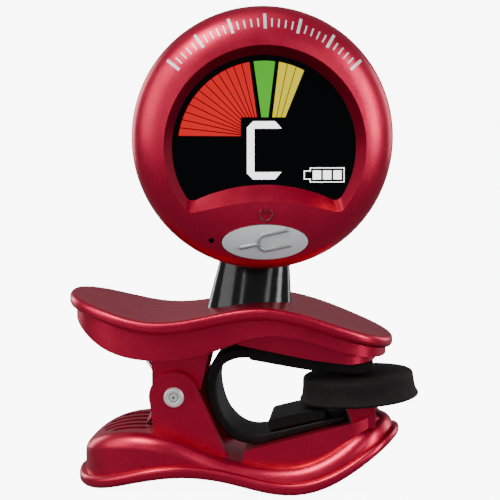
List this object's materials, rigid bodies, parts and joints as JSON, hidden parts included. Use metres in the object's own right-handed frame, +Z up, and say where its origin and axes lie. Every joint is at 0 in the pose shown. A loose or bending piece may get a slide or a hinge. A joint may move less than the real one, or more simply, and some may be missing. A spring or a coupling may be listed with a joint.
{
  "type": "clip-on tuner",
  "caption": "Clip-on instrument tuner: round display head on a ball joint and neck, over a sprung clip with rubber-lined jaws and a rocking round pad.",
  "frame": {"origin": "middle of the base of the closed tuner's bounding box", "axes": "+X towards the nose of the clip, -Y towards the player, +Z up"},
  "size_m": [0.0632, 0.0338, 0.0853],
  "materials": {
    "crimson": "satin metallic",
    "black_rubber": "matte",
    "black_plastic": "satin",
    "gloss_black": "gloss",
    "steel": "bright",
    "black_steel": "blackened",
    "black_glass": "polished",
    "display": "lit figures",
    "white_plastic": "milky",
    "board": "solder mask",
    "battery_foil": "foil",
    "brass_disc": "plain",
    "silver_plate": "brushed silver"
  },
  "bodies": {
    "lower_jaw": {"lower_cover": "crimson", "lower_arm": "crimson", "lower_liner": "black_rubber", "grip_block": "black_rubber", "liner_bend": "black_rubber", "hinge_pin": "steel", "pin_cap": "steel", "torsion_spring": "steel", "pad_pin": "steel"},
    "upper_jaw": {"upper_cover": "crimson", "upper_arm": "crimson", "upper_liner": "black_rubber", "neck": "gloss_black", "neck_screws": "steel"},
    "pad_rocker": {"pad_boot": "black_rubber", "pad_carrier": "black_plastic"},
    "ball": {"ball_stud": "gloss_black"},
    "socket": {"socket_cup": "black_plastic", "socket_ring": "steel"},
    "head": {"front_bezel": "crimson", "display_lens": "black_glass", "display_panel": "display", "light_guide": "white_plastic", "main_board": "board", "tact_switch": "black_plastic", "charge_lamp": "white_plastic", "charge_port": "steel", "battery_cell": "battery_foil", "vibration_sensor": "brass_disc", "rear_cover": "crimson", "rear_screws": "black_steel"},
    "button": {"power_button": "silver_plate"}
  },
  "joints": [
    {"name": "jaw_open", "type": "hinge", "parent": "lower_jaw", "child": "upper_jaw", "pos_m": [-0.01176, 0.0028, 0.01652], "axis": [0, -1, 0], "range_deg": [0, 35], "stiffness_Nm_per_rad": 0.5, "springref_deg": -51.57, "deforming": ["torsion_spring", "liner_bend"]},
    {"name": "pad_rock", "type": "hinge", "parent": "lower_jaw", "child": "pad_rocker", "pos_m": [0.02144, 0.0028, 0.01502], "axis": [0, 1, 0], "range_deg": [-1, 6]},
    {"name": "head_turn", "type": "hinge", "parent": "upper_jaw", "child": "ball", "pos_m": [0.00254, 0.0028, 0.04807], "axis": [0, 0, 1], "continuous": true},
    {"name": "head_tilt", "type": "hinge", "parent": "ball", "child": "socket", "pos_m": [0.00254, 0.0028, 0.04807], "axis": [0.9877, 0.1564, 0], "range_deg": [-30, 15]},
    {"name": "head_roll", "type": "hinge", "parent": "socket", "child": "head", "pos_m": [0.00254, 0.0028, 0.04807], "axis": [0.1564, -0.9877, 0], "range_deg": [-30, 30]},
    {"name": "button_press", "type": "slide", "parent": "head", "child": "button", "axis": [-0.1564, 0.9877, 0], "range_m": [0, 0.0005], "stiffness_N_per_m": 1500, "springref_m": -0.0006}
  ]
}
